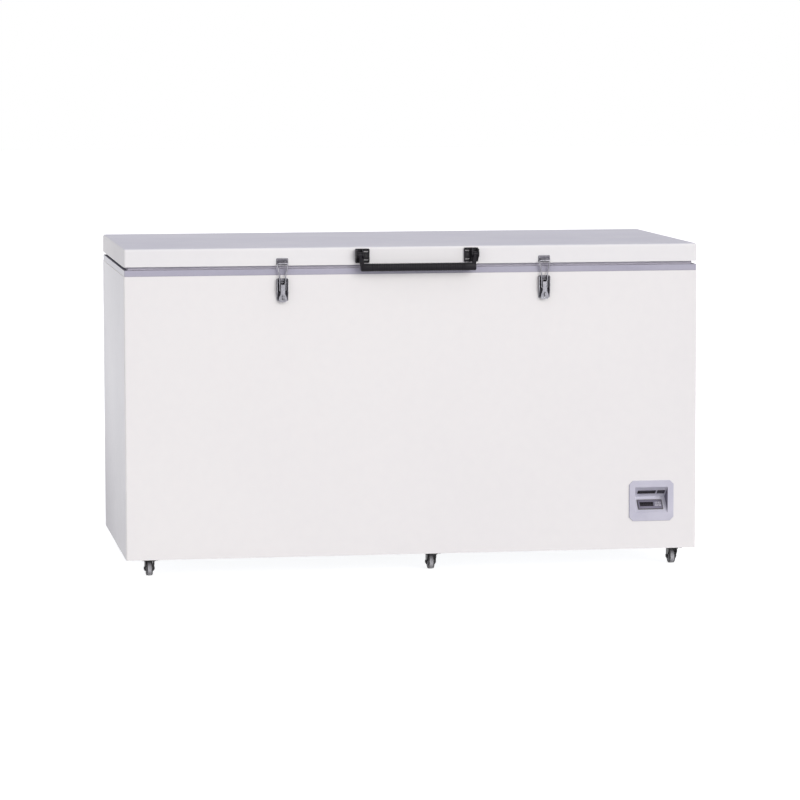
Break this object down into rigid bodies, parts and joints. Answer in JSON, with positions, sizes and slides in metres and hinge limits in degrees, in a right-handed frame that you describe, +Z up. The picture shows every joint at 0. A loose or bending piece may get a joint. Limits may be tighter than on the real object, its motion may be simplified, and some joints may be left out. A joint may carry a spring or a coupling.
{
  "type": "chest ultra low temperature freezer",
  "caption": "Wide chest freezer for ultra low temperatures: hinged insulated lid with drop handle, toggle latches, stepped tank, machine bay, recessed control panel and swivel casters.",
  "frame": {"origin": "on the floor under the middle of the whole freezer", "axes": "+X along the cabinet to the right as seen from the front, -Y out of the front, +Z up"},
  "size_m": [1.8015, 0.936, 1.023],
  "materials": {
    "white_paint": "satin powder coat",
    "side_paint": "satin powder coat",
    "lid_paint": "satin powder coat",
    "galvanised": "galvanised sheet",
    "collar_plastic": "matt moulded",
    "foam": "rigid foam",
    "liner_steel": "brushed",
    "liner_plastic": "matt moulded",
    "gasket_rubber": "matt",
    "copper": "drawn tube",
    "stainless": "polished pressing",
    "hinge_steel": "plated",
    "black_nylon": "fine moulded grain",
    "panel_plastic": "fine moulded grain",
    "dark_plastic": "moulded",
    "window_plastic": "gloss",
    "key_plastic": "moulded",
    "machine_black": "enamel",
    "machine_rubber": "matt",
    "condenser_metal": "finned",
    "shroud_plastic": "moulded",
    "vessel_paint": "foam wrapped",
    "box_paint": "moulded",
    "grille_plastic": "moulded",
    "zinc": "zinc plated",
    "fork_black": "black pressed steel",
    "wheel_rubber": "grey tread"
  },
  "bodies": {
    "cabinet": {"front_panel": "white_paint", "left_side_panel": "side_paint", "right_side_panel": "side_paint", "rear_panel": "side_paint", "base_pan": "galvanised", "top_collar": "collar_plastic", "cabinet_foam": "foam", "inner_liner": "liner_steel", "evaporator_coil": "copper", "hinge_cabinet_leaves": "hinge_steel", "hinge_screws": "zinc", "latch_bases": "stainless", "control_panel": "panel_plastic", "controller": "dark_plastic", "indicator_windows": "window_plastic", "switch_housing": "dark_plastic", "compressors": "machine_black", "compressor_feet": "machine_rubber", "condenser": "condenser_metal", "fan_shroud": "shroud_plastic", "fan_motor": "machine_black", "refrigerant_vessels": "vessel_paint", "refrigerant_pipes": "copper", "electrical_box": "box_paint", "power_inlet": "dark_plastic", "air_grilles": "grille_plastic", "probe_port": "panel_plastic", "rear_spacers": "black_nylon", "caster_plates": "zinc"},
    "lid": {"lid_pan": "lid_paint", "lid_inner_panel": "liner_plastic", "lid_foam": "foam", "lid_gasket": "gasket_rubber", "hinge_lid_leaves": "hinge_steel", "latch_keepers": "stainless", "handle_brackets": "black_nylon"},
    "handle": {"handle_bar": "black_nylon"},
    "latch_left_lever": {"latch_left_lever": "stainless"},
    "latch_left_bail": {"latch_left_bail": "stainless"},
    "latch_right_lever": {"latch_right_lever": "stainless"},
    "latch_right_bail": {"latch_right_bail": "stainless"},
    "key_1": {"key_1": "key_plastic"},
    "key_2": {"key_2": "key_plastic"},
    "key_3": {"key_3": "key_plastic"},
    "key_4": {"key_4": "key_plastic"},
    "power_switch": {"power_switch": "dark_plastic"},
    "fan": {"fan_blade": "shroud_plastic"},
    "caster_front_left_fork": {"caster_front_left_fork": "fork_black"},
    "caster_front_left_wheel": {"caster_front_left_wheel": "wheel_rubber"},
    "caster_front_middle_fork": {"caster_front_middle_fork": "fork_black"},
    "caster_front_middle_wheel": {"caster_front_middle_wheel": "wheel_rubber"},
    "caster_front_right_fork": {"caster_front_right_fork": "fork_black"},
    "caster_front_right_wheel": {"caster_front_right_wheel": "wheel_rubber"},
    "caster_rear_left_fork": {"caster_rear_left_fork": "fork_black"},
    "caster_rear_left_wheel": {"caster_rear_left_wheel": "wheel_rubber"},
    "caster_rear_middle_fork": {"caster_rear_middle_fork": "fork_black"},
    "caster_rear_middle_wheel": {"caster_rear_middle_wheel": "wheel_rubber"},
    "caster_rear_right_fork": {"caster_rear_right_fork": "fork_black"},
    "caster_rear_right_wheel": {"caster_rear_right_wheel": "wheel_rubber"}
  },
  "joints": [
    {"name": "lid_hinge", "type": "hinge", "parent": "cabinet", "child": "lid", "pos_m": [0, 0.445, 1], "axis": [-1, 0, 0], "range_deg": [0, 80]},
    {"name": "handle_swing", "type": "hinge", "parent": "lid", "child": "handle", "pos_m": [0, -0.438, 0.998], "axis": [-1, 0, 0], "range_deg": [0, 80]},
    {"name": "latch_left_lever_swing", "type": "hinge", "parent": "cabinet", "child": "latch_left_lever", "pos_m": [-0.411, -0.4255, 0.915], "axis": [-1, 0, 0], "range_deg": [0, 120]},
    {"name": "latch_left_bail_swing", "type": "hinge", "parent": "latch_left_lever", "child": "latch_left_bail", "pos_m": [-0.411, -0.431, 0.89], "axis": [-1, 0, 0], "range_deg": [-132, 0]},
    {"name": "latch_right_lever_swing", "type": "hinge", "parent": "cabinet", "child": "latch_right_lever", "pos_m": [0.411, -0.4255, 0.915], "axis": [-1, 0, 0], "range_deg": [0, 120]},
    {"name": "latch_right_bail_swing", "type": "hinge", "parent": "latch_right_lever", "child": "latch_right_bail", "pos_m": [0.411, -0.431, 0.89], "axis": [-1, 0, 0], "range_deg": [-132, 0]},
    {"name": "key_1_press", "type": "slide", "parent": "cabinet", "child": "key_1", "axis": [0, 0.6993, -0.7148], "range_m": [0, 0.0008], "stiffness_N_per_m": 400},
    {"name": "key_2_press", "type": "slide", "parent": "cabinet", "child": "key_2", "axis": [0, 0.6993, -0.7148], "range_m": [0, 0.0008], "stiffness_N_per_m": 400},
    {"name": "key_3_press", "type": "slide", "parent": "cabinet", "child": "key_3", "axis": [0, 0.6993, -0.7148], "range_m": [0, 0.0008], "stiffness_N_per_m": 400},
    {"name": "key_4_press", "type": "slide", "parent": "cabinet", "child": "key_4", "axis": [0, 0.6993, -0.7148], "range_m": [0, 0.0008], "stiffness_N_per_m": 400},
    {"name": "power_switch_rock", "type": "hinge", "parent": "cabinet", "child": "power_switch", "pos_m": [0.7925, -0.4, 0.237], "axis": [0, 0.7875, -0.6163], "range_deg": [0, 16]},
    {"name": "fan_spin", "type": "hinge", "parent": "cabinet", "child": "fan", "pos_m": [0.81, -0.01, 0.22], "axis": [1, 0, 0], "continuous": true},
    {"name": "caster_front_left_swivel", "type": "hinge", "parent": "cabinet", "child": "caster_front_left_fork", "pos_m": [-0.822, -0.35, 0.05], "axis": [0, 0, 1], "continuous": true},
    {"name": "caster_front_left_roll", "type": "hinge", "parent": "caster_front_left_fork", "child": "caster_front_left_wheel", "pos_m": [-0.822, -0.332, 0.023], "axis": [1, 0, 0], "continuous": true},
    {"name": "caster_front_middle_swivel", "type": "hinge", "parent": "cabinet", "child": "caster_front_middle_fork", "pos_m": [0.066, -0.35, 0.05], "axis": [0, 0, 1], "continuous": true},
    {"name": "caster_front_middle_roll", "type": "hinge", "parent": "caster_front_middle_fork", "child": "caster_front_middle_wheel", "pos_m": [0.066, -0.332, 0.023], "axis": [1, 0, 0], "continuous": true},
    {"name": "caster_front_right_swivel", "type": "hinge", "parent": "cabinet", "child": "caster_front_right_fork", "pos_m": [0.842, -0.35, 0.05], "axis": [0, 0, 1], "continuous": true},
    {"name": "caster_front_right_roll", "type": "hinge", "parent": "caster_front_right_fork", "child": "caster_front_right_wheel", "pos_m": [0.842, -0.332, 0.023], "axis": [1, 0, 0], "continuous": true},
    {"name": "caster_rear_left_swivel", "type": "hinge", "parent": "cabinet", "child": "caster_rear_left_fork", "pos_m": [-0.822, 0.35, 0.05], "axis": [0, 0, 1], "continuous": true},
    {"name": "caster_rear_left_roll", "type": "hinge", "parent": "caster_rear_left_fork", "child": "caster_rear_left_wheel", "pos_m": [-0.822, 0.368, 0.023], "axis": [1, 0, 0], "continuous": true},
    {"name": "caster_rear_middle_swivel", "type": "hinge", "parent": "cabinet", "child": "caster_rear_middle_fork", "pos_m": [0.066, 0.35, 0.05], "axis": [0, 0, 1], "continuous": true},
    {"name": "caster_rear_middle_roll", "type": "hinge", "parent": "caster_rear_middle_fork", "child": "caster_rear_middle_wheel", "pos_m": [0.066, 0.368, 0.023], "axis": [1, 0, 0], "continuous": true},
    {"name": "caster_rear_right_swivel", "type": "hinge", "parent": "cabinet", "child": "caster_rear_right_fork", "pos_m": [0.842, 0.35, 0.05], "axis": [0, 0, 1], "continuous": true},
    {"name": "caster_rear_right_roll", "type": "hinge", "parent": "caster_rear_right_fork", "child": "caster_rear_right_wheel", "pos_m": [0.842, 0.368, 0.023], "axis": [1, 0, 0], "continuous": true}
  ],
  "couplings": [
    {"joint": "latch_left_bail_swing", "follows": "latch_left_lever_swing", "ratio": -1.1},
    {"joint": "latch_right_bail_swing", "follows": "latch_right_lever_swing", "ratio": -1.1}
  ]
}
